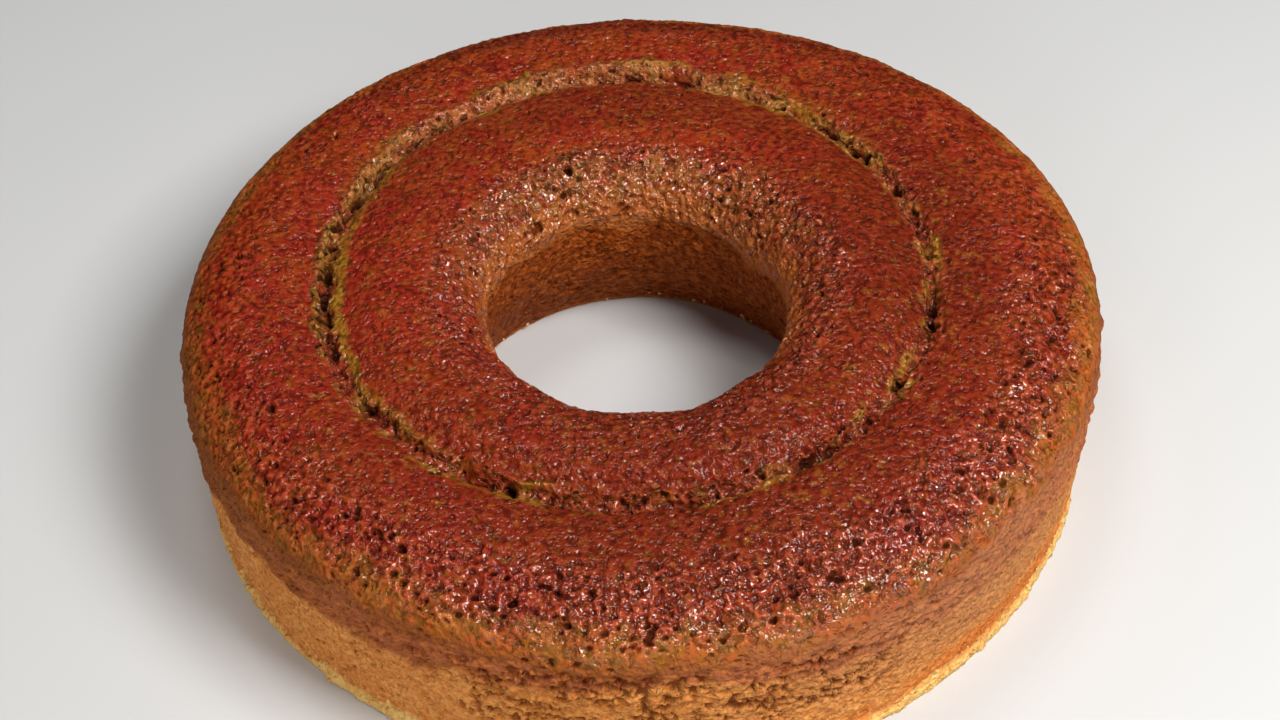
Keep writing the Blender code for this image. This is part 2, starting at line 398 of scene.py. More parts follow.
# Open pores by zone: first and last place, how many a square centimetre, the smallest and
# largest radius, the depth as a share of the radius, and the length over the height.
PORE_ZONES = (
    (7.0, 32.0, 9.0, 0.28, 0.80, 1.3, 1.2),
    (29.0, 43.0, 8.0, 0.30, 0.80, 1.1, 2.2),
    (42.0, 53.0, 7.0, 0.30, 0.90, 1.1, 1.4),
    (50.0, 68.0, 13.0, 0.40, 1.15, 1.2, 1.2),
    (66.0, 86.0, 9.0, 0.30, 0.75, 1.1, 1.2),
    (86.0, 96.0, 7.0, 0.35, 1.00, 1.5, 1.1),
    (96.0, 119.0, 9.0, 0.30, 0.75, 1.1, 1.2),
    (117.0, 139.0, 9.0, 0.35, 1.00, 1.2, 1.2),
    (138.0, 186.0, 5.0, 0.30, 0.90, 1.1, 2.0),
    (190.0, 252.0, 2.0, 0.60, 1.60, 0.8, 1.2),
)
PORE_CHANCE, PORE_PATCHINESS = 0.62, 0.5
SMALL_PORE_BIAS = 2.2
PORE_SEED = 2026

# The few pits that stand out, listed: bearing, place, radius and depth.
LARGE_PITS = (
    (-101, 67, 1.7, 2.4),
    (-122, 62, 1.4, 1.8),
    (-106, 58, 1.5, 2.0),
    (-154, 68, 1.5, 2.0),
    (-62, 64, 1.5, 2.0),
    (130, 136, 2.4, 2.6),
    (111, 124, 1.6, 2.0),
)
# Holes of the crack that stand open, and a short row of small holes below the crust's edge.
CRACK_PITS = ((-125, 87, 1.8, 3.0), (-31, 91, 1.7, 2.6), (56, 90, 1.4, 2.2), (165, 89, 1.3, 2.2))
EDGE_ROW_BEARINGS, EDGE_ROW_PLACE = (-104, -101, -98, -95), 45
EDGE_HOLE_RADIUS, EDGE_HOLE_DEPTH = 1.0, 1.4


def press_pit(ring, wobble, depth, bearing, place, radius, deep, stretch, turn):
    """Presses a pit into the depth field, and keeps the deeper of the two where pits meet."""
    reach = radius * max(stretch, 1.0)
    rows = np.arange(*np.searchsorted(ring.place[:, 0], (place - reach, place + reach)))
    if not len(rows):
        return
    width = math.tau * ring.radius[rows[0], 0] / COLUMNS
    middle = (math.radians(bearing) + math.pi) / math.tau * COLUMNS
    columns = np.arange(math.floor(middle - reach / width), math.ceil(middle + reach / width) + 1)
    along, up = (columns - middle)[None, :] * width, ring.place[rows] - place
    length = (along * math.cos(turn) + up * math.sin(turn)) / stretch
    breadth = up * math.cos(turn) - along * math.sin(turn)
    spot = np.ix_(rows, columns % COLUMNS)
    away = np.hypot(length, breadth) / radius + 0.45 * wobble[spot]
    depth[spot] = np.maximum(depth[spot], deep * (1.0 - blend(0.25, 0.95, away)))


def pit_relief(ring):
    """How deep every point lies in a pit or pore."""
    depth = np.zeros(ring.points.shape[:2])
    wobble = rough_noise(ring.points, 1.5, 60, 2)
    patches = soft_noise(ring.points, 11.0, 61) + 0.6 * soft_noise(ring.points, 4.5, 62)
    draw = np.random.default_rng(PORE_SEED)
    for first, last, density, smallest, largest, deepness, stretch in PORE_ZONES:
        rows = np.arange(*np.searchsorted(ring.place[:, 0], (first, last)))
        steps = np.diff(ring.place[:, 0], append=ring.length)[rows]
        areas = math.tau * ring.radius[rows, 0] * steps / 100.0
        for row, count in zip(rows, draw.poisson(areas * density / PORE_CHANCE)):
            for bearing in draw.uniform(-180.0, 180.0, count):
                column = int((bearing + 180.0) / 360.0 * COLUMNS) % COLUMNS
                chance = PORE_CHANCE + PORE_PATCHINESS * patches[row, column]
                size = draw.random() ** SMALL_PORE_BIAS
                if draw.random() > chance:
                    continue
                radius = smallest + (largest - smallest) * size
                press_pit(ring, wobble, depth, bearing, ring.place[row, 0], radius,
                          radius * deepness, stretch * draw.uniform(1.0, 1.4),
                          draw.uniform(-0.6, 0.6))
    edge_row = [(bearing, EDGE_ROW_PLACE, EDGE_HOLE_RADIUS, EDGE_HOLE_DEPTH)
                for bearing in EDGE_ROW_BEARINGS]
    for bearing, place, radius, deep in (*LARGE_PITS, *CRACK_PITS, *edge_row):
        press_pit(ring, wobble, depth, bearing + draw.uniform(-0.5, 0.5), place, radius,
                  deep, 1.2, draw.uniform(-0.6, 0.6))
    return depth


# ------------------------------------------------------------- blisters, fissures and lip

LIP_PLACE, LIP_BULGE = 2.0, 0.75
LIP_WAVES, LIP_WAVE_HEIGHT = 24, 0.9
LIP_NOTCHES, LIP_NOTCH_HEIGHT = 90, 1.1
BUBBLE_SIZE, BUBBLE_DEPTH = 2.5, 1.1
SMALL_CELL, LARGE_CELL, CELL_DEPTH = 2.3, 4.0, 1.1
FOLD_SIZE, FISSURE_DEPTH = 7.0, 0.6
# How the wall's folds and its open cells are flattened.
FLAT_FOLDS, FLAT_CELLS = (1.0, 1.0, 4.0), (1.0, 1.0, 1.7)


def lip_edge(azimuth):
    """The place up to which the pale frayed lip reaches, round the ring."""
    edge = LIP_PLACE + LIP_WAVE_HEIGHT * ring_noise(azimuth, LIP_WAVES, 11.0)
    edge = edge + LIP_NOTCH_HEIGHT * ring_noise(azimuth, LIP_NOTCHES, 12.0)
    return edge + 2.8 * toward(azimuth, *HIGH_LIP_RIGHT) + 1.6 * toward(azimuth, *HIGH_LIP_LEFT)


def open_crumb(ring):
    """1 where the wall's crumb stands open in flat cells: its upper part, in front."""
    return between(*OPEN_CRUMB, 3.0, ring.place) * toward(ring.azimuth, *OPEN_FRONT)


def coarseness(ring):
    """How coarse the crust's blisters are, from 0 on the humps to 1 in the pitted bands."""
    points = ring.points
    place = ring.place + 3.0 * soft_noise(points, 13.0, 27)
    band = between(*PITTED_BAND, 5.0, place)
    band = band * (0.25 + 0.75 * toward(ring.azimuth, *COARSE_FRONT))
    shoulder = between(*INNER_SHOULDER, 4.0, place)
    shoulder = shoulder * (0.4 + 0.6 * toward(ring.azimuth, *COARSE_SHOULDER))
    return np.clip((band + shoulder) * (0.8 + 0.5 * soft_noise(points, 6.0, 28)), 0.0, 1.0)


def open_cells(ring):
    """How far the wall's crumb stands open, and how deep in a cell each point lies."""
    points = ring.points
    patchy = soft_noise(points, 7.0, 36) + 0.7 * soft_noise(points, 3.5, 38)
    stands_open = blend(0.15, 0.55, open_crumb(ring) * blend(-0.45, 0.15, patchy))
    few = blend(0.0, 0.4, soft_noise(points, 6.0, 48))
    flat = points * np.array(FLAT_CELLS)
    return stands_open, np.maximum(bowls(flat, SMALL_CELL, 37), few * bowls(flat, LARGE_CELL, 45))


def fine_relief(ring, coarse, burst):
    """How blisters, bubbles, folds, cells and the lip push the surface, and where it is fissured."""
    points, place = ring.points, ring.place
    crust = between(*CRUST, 3.0, place)
    wall = 1.0 - blend(*WALL_FADES, place)
    browned = between(*BROWNED_FOLDS, 2.5, place)
    tube = between(*HOLE_WALL, 2.0, place)

    push = 0.25 * crust * rough_noise(points, 6.0, 21, 2)
    push = push + crust * (0.10 + 0.25 * coarse) * ridges(points, 2.6, 22)
    push = push + crust * (0.08 + 0.20 * coarse) * blisters(points, 1.8, 23)
    push = push + crust * (0.15 + 0.85 * coarse) * (0.45 - BUBBLE_DEPTH * burst)
    push = push + crust * coarse * (0.5 * knobs(points, 2.6, 34) + 0.5 * soft_noise(points, 4.5, 33))

    flat = points * np.array(FLAT_FOLDS) + 1.2 * soft_noise(points, 5.0, 31)[..., None]
    folds = blisters(flat, FOLD_SIZE, 24)
    push = push + folds * (0.25 * wall + 0.70 * browned + 0.30 * tube)
    push = push + 0.30 * (wall + tube) * rough_noise(points, 1.7, 25, 2)
    fissured = (browned + 0.15 * tube) * blend(-0.4, 0.2, soft_noise(points, 10.0, 32))
    fissures = fissured * (1.0 - blend(0.05, 0.24, folds))

    stands_open, cells = open_cells(ring)
    push = push + stands_open * (0.3 - CELL_DEPTH * cells)
    fissures = np.maximum(fissures, 1.3 * stands_open * blend(0.15, 0.55, cells))

    above = place - lip_edge(ring.azimuth)
    on_lip = (1.0 - blend(-0.7, 0.5, above)) * blend(-0.7, 0.0, soft_noise(points, 9.0, 39))
    ragged = 0.5 + 0.6 * rough_noise(points, 2.2, 26, 2)
    push = push + on_lip * LIP_BULGE * ragged - 0.35 * between(0.4, 2.4, 0.6, above)
    return push - FISSURE_DEPTH * fissures, fissures


# --------------------------------------------------------------------- what goes where

# Places where one colour gives way to the next, up the wall, over the top and down the hole.
BORDER_FOOT, BORDER_TOP = 31.5, 47.5
BORDER_RISE = 8.0
DARK_BORDER = (42.5, 48.5)
OLIVE_EDGE = (46.0, 55.5)
CRUST_BEGINS, CRUST_ENDS = (46.0, 56.0), (130.0, 138.0)
TAN_CRUMB = (121.0, 138.0)
RIM = (130.0, 142.0)
TUBE_BEGINS, TUBE_ENDS = (139.0, 145.0), (184.0, 188.0)
DRY_WALL, OIL_BEGINS_OVER, OIL_ENDS = 44.0, 7.0, (138.0, 144.0)


def baked_dark_and_shade_share(azimuth, wavy):
    """Where the crust is darker: baked darker in front, with painted shade at the right, on the
    shoulder behind and as a painted shadow line on the flank behind.
    """
    on_hump = blend(66.0, 76.0, wavy)
    return np.maximum.reduce([
        toward(azimuth, *DARK_FRONT) * (0.45 + 0.35 * on_hump),
        toward(azimuth, *SHADE_BACK_SHOULDER) * (1.0 - blend(60.0, 68.0, wavy)),
        0.8 * toward(azimuth, *SHADE_RIGHT) * on_hump,
        0.5 * toward(azimuth, *SHADOW_BACK_FLANK) * between(92.0, 108.0, 4.0, wavy),
    ])


def oily_share(ring, wavy, spotty, torn):
    """Where the crust is oily: not on the wall, in the hole, on the back's shoulder or in tears."""
    place, azimuth = ring.place, ring.azimuth
    behind = 1.0 - toward(azimuth, *COARSE_FRONT)
    dry_edge = DRY_WALL + 9.0 * behind
    oily = blend(dry_edge, dry_edge + OIL_BEGINS_OVER, spotty) * (1.0 - blend(*OIL_ENDS, wavy))
    oily = oily * (1.0 - 0.4 * toward(azimuth, *DULL_RIGHT) * blend(68.0, 76.0, place))
    oily = oily * (1.0 - 0.5 * toward(azimuth, *DULL_FRONT) * between(*INNER_FLANK, 4.0, place))
    return oily * (1.0 - 0.45 * torn) * (1.0 - 0.9 * behind * (1.0 - blend(60.0, 75.0, place)))


def paint(ring, coarse, torn, sunk, crack_olive, crumb_tops):
    """Shares of 0 to 1 that tell the material where each baked colour lies, and where painted shade
    and painted highlights fall.
    """
    points, place, azimuth = ring.points, ring.place, ring.azimuth
    wavy = place + 2.4 * soft_noise(points, 20.0, 40) + 2.4 * rough_noise(points, 7.0, 41, 3)
    spotty = wavy + 2.6 * soft_noise(points, 3.4, 43) + 1.8 * soft_noise(points, 1.8, 44)
    above_lip = place - lip_edge(azimuth) + 0.8 * soft_noise(points, 2.5, 42)
    right, left = toward(azimuth, *RIGHT), toward(azimuth, *LEFT)
    wall_shade = toward(azimuth, *SHADED_WALL)
    lower = spotty + 3.0 * np.maximum(left, toward(azimuth, *LATE_CRUST))
    border_foot = BORDER_FOOT + BORDER_RISE * toward(azimuth, *HIGH_BORDER)
    orange = between(0.6, 3.5 + 6.0 * right, 1.4, above_lip) * (0.3 + 0.7 * right)
    return {
        "crust": blend(*CRUST_BEGINS, lower) * (1.0 - blend(*CRUST_ENDS, spotty)),
        "olive": between(*OLIVE_EDGE, 2.5, wavy),
        "border": between(*DARK_BORDER, 1.5, wavy) * (1.0 - 0.8 * wall_shade),
        "browned": between(border_foot, BORDER_TOP, 2.5, wavy),
        "inner_crumb": between(*TAN_CRUMB, 4.0, spotty) * toward(azimuth, *TAN_SHOULDER),
        "rim": between(*RIM, 3.0, wavy),
        "tube": blend(*TUBE_BEGINS, wavy) * (1.0 - blend(*TUBE_ENDS, place)),
        "pale": 1.0 - blend(-0.6, 0.8, above_lip),
        "orange": orange * blend(-0.6, 0.2, soft_noise(points, 8.0, 49)),
        "open_crumb": open_crumb(ring),
        "crack_olive": crack_olive,
        "crumb_tops": crumb_tops * (0.12 + 0.88 * toward(azimuth, *PALE_AND_LIT_CRUMBS)),
        "coarse": np.maximum(coarse, 0.6 * torn),
        "sunk": sunk,
        "oily": oily_share(ring, wavy, spotty, torn),
        "paler": toward(azimuth, *RUSTY_BACK),
        "dark_and_shade": baked_dark_and_shade_share(azimuth, wavy),
        "wall_shade": wall_shade * blend(9.0, 24.0, wavy),
        "left": left,
        "right": right,
    }


# ----------------------------------------------------------------------------- the mesh

def ring_faces(rows):
    """Quads between neighbouring rows and columns, both of which close."""
    row, column = np.meshgrid(np.arange(rows), np.arange(COLUMNS), indexing="ij")
    next_row, next_column = (row + 1) % rows, (column + 1) % COLUMNS
    corners = ((row, column), (row, next_column), (next_row, next_column), (next_row, column))
    return np.stack([r * COLUMNS + c for r, c in corners], axis=-1).reshape(-1, 4)


def ring_uvs(ring):
    """The ring unrolled as two half-ring strips, one above the other."""
    rows, half = len(ring.place), COLUMNS // 2
    row, column = np.meshgrid(np.arange(rows), np.arange(COLUMNS), indexing="ij")
    ends = np.append(ring.place[:, 0], ring.length) / ring.length
    strip = column // half
    uvs = []
    for row_step, column_step in ((0, 0), (0, 1), (1, 1), (1, 0)):
        u = (column % half + column_step) / half
        v = (strip + 0.01 + 0.98 * ends[row + row_step]) / 2.0
        uvs.append(np.stack([0.005 + 0.99 * u, v], axis=-1))
    return np.stack(uvs, axis=2).reshape(-1, 2)


def new_piece(name, data):
    """An object in the scene for a finished mesh, a light or a camera."""
    piece = bpy.data.objects.new(name, data)
    bpy.context.scene.collection.objects.link(piece)
    return piece


# How deep a pit is fully darkened by painted shade, and how the underside is hollowed unevenly within
# its rims.
DARK_PIT_DEPTH = 1.2
BASE_UNEVENNESS, BASE_RIM = 0.4, 8.0


def build_surface(ring):
    """The cake's whole surface as one closed mesh, with its colour shares."""
    valley = ring.place_of(*VALLEY)
    hole_foot = ring.place_of(HOLE_FOOT_RADIUS, 0.0)
    crack_push, torn, deep_crack, crack_olive, crumb_tops = crack_relief(ring, valley)
    pit_depth = pit_relief(ring)
    coarse = coarseness(ring)
    burst = bowls(ring.points, BUBBLE_SIZE, 29)
    fine_push, fissures = fine_relief(ring, coarse, burst)
    # Painted shade: how dark the crack's gaps, burst bubbles, fissures and pits are coloured.
    in_bowls = (0.15 + 0.55 * coarse) * blend(0.25, 0.85, burst)
    sunk = np.maximum(np.maximum(deep_crack, in_bowls), 0.7 * fissures) + pit_depth / DARK_PIT_DEPTH
    on_base = blend(hole_foot - 1.0, hole_foot + 1.0, ring.place)
    off_rims = between(hole_foot + BASE_RIM, ring.length - BASE_RIM, 3.0, ring.place)
    push = (crack_push + fine_push) * (1.0 - on_base) - pit_depth
    push = push - on_base * BASE_UNEVENNESS * (1.0 + soft_noise(ring.points, 4.0, 50)) * off_rims

    points = ring.points + ring.normals * push[..., None]
    points[..., 2] = np.maximum(points[..., 2], 0.0)
    mesh = bpy.data.meshes.new("baked_surface")
    mesh.from_pydata((points.reshape(-1, 3) * MM).tolist(), [], ring_faces(len(ring.place)).tolist())
    mesh.shade_smooth()
    for name, share in paint(ring, coarse, torn, sunk, crack_olive, crumb_tops).items():
        attribute = mesh.attributes.new(name, "FLOAT", "POINT")
        everywhere = np.broadcast_to(np.clip(share, 0.0, 1.0), points.shape[:2])
        attribute.data.foreach_set("value", everywhere.astype(np.float32).ravel())
    uv_map = mesh.uv_layers.new(name="OFBake")
    uv_map.uv.foreach_set("vector", ring_uvs(ring).astype(np.float32).ravel())
    return new_piece("baked_surface", mesh), points


# Crumbs that cling to the lip and at the hole's foot: first and last place, and how many.
CRUMB_ZONES = ((0.8, 7.0, 210), (182.0, 187.0, 40))
SMALLEST_CRUMB, LARGEST_CRUMB = 0.30, 0.85
CRUMB_UNEVENNESS, CRUMB_LIFT = 0.30, 0.35
CRUMB_SEED = 77


def build_crumbs(ring, points):
    """Small uneven crumbs stuck to the surface, as one mesh."""
    draw = np.random.default_rng(CRUMB_SEED)
    bpy.ops.mesh.primitive_ico_sphere_add(subdivisions=2, radius=1.0)
    ball = bpy.context.object
    shape = np.array([vertex.co for vertex in ball.data.vertices])
    faces = np.array([face.vertices for face in ball.data.polygons])
    bpy.data.objects.remove(ball)
    all_points, all_faces = [], []
    for first, last, count in CRUMB_ZONES:
        low, high = np.searchsorted(ring.place[:, 0], (first, last))
        for row, column in zip(draw.integers(low, high, count), draw.integers(0, COLUMNS, count)):
            radius = SMALLEST_CRUMB + (LARGEST_CRUMB - SMALLEST_CRUMB) * draw.random() ** 2
            lumpy = 1.0 + CRUMB_UNEVENNESS * soft_noise(shape * 2.0 + draw.uniform(0, 90, 3), 1.3, 51)
            squash = draw.uniform(0.6, 1.0, 3)
            centre = points[row, column] + ring.normals[row, column] * CRUMB_LIFT * radius
            crumb = shape * lumpy[:, None] * squash * radius + centre
            crumb[:, 2] += max(-crumb[:, 2].min(), 0.0)
            all_faces.append(faces + len(shape) * len(all_points))
            all_points.append(crumb)
    mesh = bpy.data.meshes.new("crumbs")
    mesh.from_pydata((np.concatenate(all_points) * MM).tolist(), [],
                     np.concatenate(all_faces).tolist())
    mesh.shade_smooth()
    return new_piece("crumbs", mesh)


# ---------------------------------------------------------------------------- materials

def colour(red, green, blue):
    """A screen colour of 0 to 255 as the linear colour that the shader takes."""
    linear = [(part / 255.0 / 12.92) if part < 10.3 else ((part / 255.0 + 0.055) / 1.055) ** 2.4
              for part in (red, green, blue)]
    return (*linear, 1.0)


CRIMSON = colour(134, 30, 14)
BRICK = colour(134, 42, 11)
DARK_BRICK = colour(98, 26, 7)
RUST = colour(146, 60, 12)
CRUST_HIGHLIGHT = colour(190, 86, 56)
OLIVE_CRUST = colour(138, 88, 22)
OLIVE_CRUMB = colour(146, 106, 26)
CRUMB_TOP = colour(190, 132, 80)
INNER_CRUMB = colour(150, 98, 42)
BURNT_ORANGE = colour(164, 80, 26)
PURPLE_BROWN = colour(162, 90, 56)
EDGE_BROWN = colour(116, 64, 22)
TAN = colour(226, 158, 88)
DARK_TAN = colour(192, 116, 54)
SHADE_TAN = colour(160, 110, 78)
ORANGE = colour(208, 108, 38)
PALE_YELLOW = colour(226, 190, 116)
RIM_TAN = colour(168, 88, 36)
TUBE_BROWN = colour(132, 58, 12)
TUBE_SPECK = colour(72, 24, 6)
# The colours of painted shade in pits and pores follow, on crust and on crumb.
PIT_SHADE_BROWN = colour(34, 8, 3)
WALL_PIT_SHADE_BROWN = colour(104, 42, 12)


class Shading:
    """A node material under way: small helpers that add a node and give its output."""

    def __init__(self, name):
        self.material = bpy.data.materials.new(name)
        self.material.use_nodes = True
        self.tree = self.material.node_tree
        self.shader = self.tree.nodes["Principled BSDF"]
        self.where = self.tree.nodes.new("ShaderNodeTexCoord").outputs["Object"]

    def feed(self, socket, value):
        """Links an output to a socket, or sets its number or colour."""
        if isinstance(value, bpy.types.NodeSocket):
            self.tree.links.new(value, socket)
        else:
            socket.default_value = value

    def share(self, name):
        """One of the mesh's painted shares."""
        node = self.tree.nodes.new("ShaderNodeAttribute")
        node.attribute_name = name
        return node.outputs["Fac"]

    def mottle(self, size, detail=3.0, flat=1.0):
        """Noise of 0 to 1 with cells about this many millimetres across, and flatter if asked."""
        node = self.tree.nodes.new("ShaderNodeTexNoise")
        mapping = self.tree.nodes.new("ShaderNodeMapping")
        mapping.inputs["Scale"].default_value = (1.0, 1.0, flat)
        self.feed(mapping.inputs["Vector"], self.where)
        self.feed(node.inputs["Vector"], mapping.outputs["Vector"])
        node.inputs["Scale"].default_value = 1.0 / (size * MM)
        node.inputs["Detail"].default_value = detail
        node.inputs["Roughness"].default_value = 0.55
        return node.outputs["Fac"]

    def bent(self, size, reach):
        """Object coordinates pushed about this far, in millimetres, to make cells uneven."""
        bend = self.tree.nodes.new("ShaderNodeTexNoise")
        self.feed(bend.inputs["Vector"], self.where)
        bend.inputs["Scale"].default_value = 1.0 / (size * MM)
        bend.inputs["Detail"].default_value = 1.0
        moved = self.tree.nodes.new("ShaderNodeVectorMath")
        moved.operation = "MULTIPLY_ADD"
        self.feed(moved.inputs[0], bend.outputs["Color"])
        moved.inputs[1].default_value = (2.0 * reach * MM,) * 3
        self.feed(moved.inputs[2], self.where)
        return moved.outputs["Vector"]

    def hollows(self, where, size, few):
        """Uneven hollows of 1 in ground of 0, about this far apart; few leaves that share out."""
        cells = self.tree.nodes.new("ShaderNodeTexVoronoi")
        edges = self.tree.nodes.new("ShaderNodeTexVoronoi")
        edges.feature = "DISTANCE_TO_EDGE"
        for node in (cells, edges):
            node.inputs["Scale"].default_value = 1.0 / (size * MM)
            self.feed(node.inputs["Vector"], where)
        middle = self.spread(edges.outputs["Distance"], 0.06, 0.40, kind="SMOOTHSTEP")
        return self.product(middle, self.spread(cells.outputs["Color"], few, few + 0.35))

    def spread(self, value, low, high, out_low=0.0, out_high=1.0, kind="LINEAR"):
        """A value's stretch from low to high, spread out and held to the new ends."""
        node = self.tree.nodes.new("ShaderNodeMapRange")
        node.interpolation_type = kind
        for name, number in zip(("From Min", "From Max", "To Min", "To Max"),
                                (low, high, out_low, out_high)):
            self.feed(node.inputs[name], number)
        self.feed(node.inputs["Value"], value)
        return node.outputs["Result"]

    def sum(self, *values, kind="ADD"):
        """Values added, or put together by another kind of arithmetic."""
        total = values[0]
        for value in values[1:]:
            node = self.tree.nodes.new("ShaderNodeMath")
            node.operation = kind
            self.feed(node.inputs[0], total)
            self.feed(node.inputs[1], value)
            total = node.outputs["Value"]
        return total

    def product(self, *values):
        """Values multiplied."""
        return self.sum(*values, kind="MULTIPLY")

    def most(self, *values):
        """The largest of the values."""
        return self.sum(*values, kind="MAXIMUM")

    def mix(self, factor, first, second):
        """From the first colour to the second by a factor."""
        node = self.tree.nodes.new("ShaderNodeMix")
        node.data_type = "RGBA"
        self.feed(node.inputs["Factor"], factor)
        self.feed(node.inputs["A"], first)
        self.feed(node.inputs["B"], second)
        return node.outputs["Result"]

    def relief(self, height_mm):
        """Fine bumps from a height in millimetres."""
        node = self.tree.nodes.new("ShaderNodeBump")
        node.inputs["Strength"].default_value = 1.0
        node.inputs["Distance"].default_value = MM
        self.feed(node.inputs["Height"], height_mm)
        self.feed(self.shader.inputs["Normal"], node.outputs["Normal"])
        self.feed(self.shader.inputs["Coat Normal"], node.outputs["Normal"])


def crumb_colour(paint_by):
    """Tan crumb, mottled fine and coarse."""
    fine = paint_by.spread(paint_by.mottle(1.6), 0.35, 0.65)
    coarse = paint_by.spread(paint_by.mottle(14.0), 0.4, 0.65, 0.0, 0.5)
    return paint_by.mix(coarse, paint_by.mix(fine, DARK_TAN, TAN), DARK_TAN)


def crust_colour(paint_by):
    """Crimson, brick and rust patches: more crimson at the left, more rust behind and right."""
    broad = paint_by.mottle(22.0, 2.0)
    crimson = paint_by.sum(broad, paint_by.product(paint_by.share("left"), 0.12))
    red = paint_by.mix(paint_by.spread(crimson, 0.44, 0.62), BRICK, CRIMSON)
    rust = paint_by.sum(paint_by.mottle(7.0), paint_by.product(paint_by.share("right"), 0.03),
                        paint_by.product(paint_by.share("paler"), 0.08))
    red = paint_by.mix(paint_by.spread(rust, 0.52, 0.72, 0.0, 0.8), red, RUST)
    # Darker brick where the crust baked darker in front, and painted shade at the right and behind.
    red = paint_by.mix(paint_by.product(paint_by.share("dark_and_shade"), 0.95), red, DARK_BRICK)
    flecks = paint_by.spread(paint_by.mottle(2.6), 0.56, 0.70, 0.0, 0.6)
    return paint_by.mix(flecks, red, OLIVE_CRUST)


def wall_colour(paint_by):
    """Tan crumb with an orange foot and a border browned in streaks, with painted shade on the wall
    at the right front.
    """
    share, product, mix, spread = paint_by.share, paint_by.product, paint_by.mix, paint_by.spread
    wall = mix(product(share("orange"), 0.7), crumb_colour(paint_by), ORANGE)
    streaks = paint_by.mottle(3.4, 1.0, flat=3.5)
    browned = mix(spread(streaks, 0.48, 0.64, 0.0, 0.75), PURPLE_BROWN, DARK_TAN)
    browned = mix(product(share("left"), share("left"), 0.7), browned, EDGE_BROWN)
    wall = mix(share("browned"), wall, browned)
    wall = mix(product(share("border"), 0.55), wall, EDGE_BROWN)
    # Painted shade darkens the wall at the right front.
    return mix(product(share("wall_shade"), 0.50), wall, SHADE_TAN)


def tube_colour(paint_by):
    """Brown crumb in the hole, with tan patches and dark specks."""
    mix, spread, mottle = paint_by.mix, paint_by.spread, paint_by.mottle
    tube = mix(spread(mottle(2.2), 0.44, 0.60, 0.0, 0.75), TUBE_BROWN, RIM_TAN)
    return mix(spread(mottle(1.7, 1.0, flat=1.6), 0.54, 0.66, 0.0, 0.70), tube, TUBE_SPECK)


def gold_colour(paint_by):
    """The crust's golden lower edge, browner at the left."""
    share, product, mix, spread = paint_by.share, paint_by.product, paint_by.mix, paint_by.spread
    gold = mix(spread(paint_by.mottle(5.0), 0.42, 0.58), BURNT_ORANGE, OLIVE_CRUST)
    return mix(product(share("left"), 0.6), gold, EDGE_BROWN)


def surface_colour(paint_by, coarse, crusty, grain):
    """Every baked colour in its place, without the shade of pits and pores."""
    share, product, mix, spread = paint_by.share, paint_by.product, paint_by.mix, paint_by.spread
    base = mix(share("rim"), wall_colour(paint_by), RIM_TAN)
    base = mix(share("tube"), base, tube_colour(paint_by))
    base = mix(share("crust"), base, crust_colour(paint_by))
    gilt = product(share("olive"), spread(paint_by.mottle(4.0), 0.35, 0.60, 0.25))
    base = mix(gilt, base, gold_colour(paint_by))
    tan_spots = spread(paint_by.mottle(3.2), 0.40, 0.60, 0.15, 0.80)
    base = mix(product(share("inner_crumb"), tan_spots), base, INNER_CRUMB)
    olive_spots = spread(paint_by.mottle(3.5), 0.30, 0.55, 0.55)
    base = mix(product(share("crack_olive"), olive_spots), base, OLIVE_CRUMB)
    # Pale crumb on the torn knobs' tops, partly a painted highlight.
    base = mix(product(share("crumb_tops"), 0.55), base, CRUMB_TOP)
    # Painted highlight: the grain's tops on the crust are lighter and pinker, less so on dry crumb.
    dry_tops = paint_by.most(share("crumb_tops"), share("inner_crumb"))
    tops = product(crusty, spread(grain, 0.48, 0.68), spread(coarse, 0.0, 1.0, 0.10, 0.62),
                   spread(dry_tops, 0.0, 0.9, 1.0, 0.35))
    base = mix(tops, base, CRUST_HIGHLIGHT)
    pale = mix(spread(paint_by.mottle(1.8), 0.32, 0.56), TAN, PALE_YELLOW)
    return mix(share("pale"), base, pale)


def pit_shade(paint_by, coarse, crusty, grain, large, small):
    """How far painted shade darkens the pits, pores, open cells and fine low ground, from 0 to 1."""
    share, product, spread, most = paint_by.share, paint_by.product, paint_by.spread, paint_by.most
    low = product(crusty, spread(grain, 0.28, 0.48, 0.55, 0.0))
    holes = product(most(product(large, 0.85), product(small, 0.60)),
                    spread(coarse, 0.0, 0.5, 0.6, 0.8))
    open_spots = most(spread(crusty, 0.0, 0.6, 0.35, 1.0), share("open_crumb"))
    shade = product(most(holes, low), open_spots, spread(share("pale"), 0.0, 1.0, 1.0, 0.4))
    return most(shade, spread(share("sunk"), 0.22, 0.95, 0.0, 0.90))


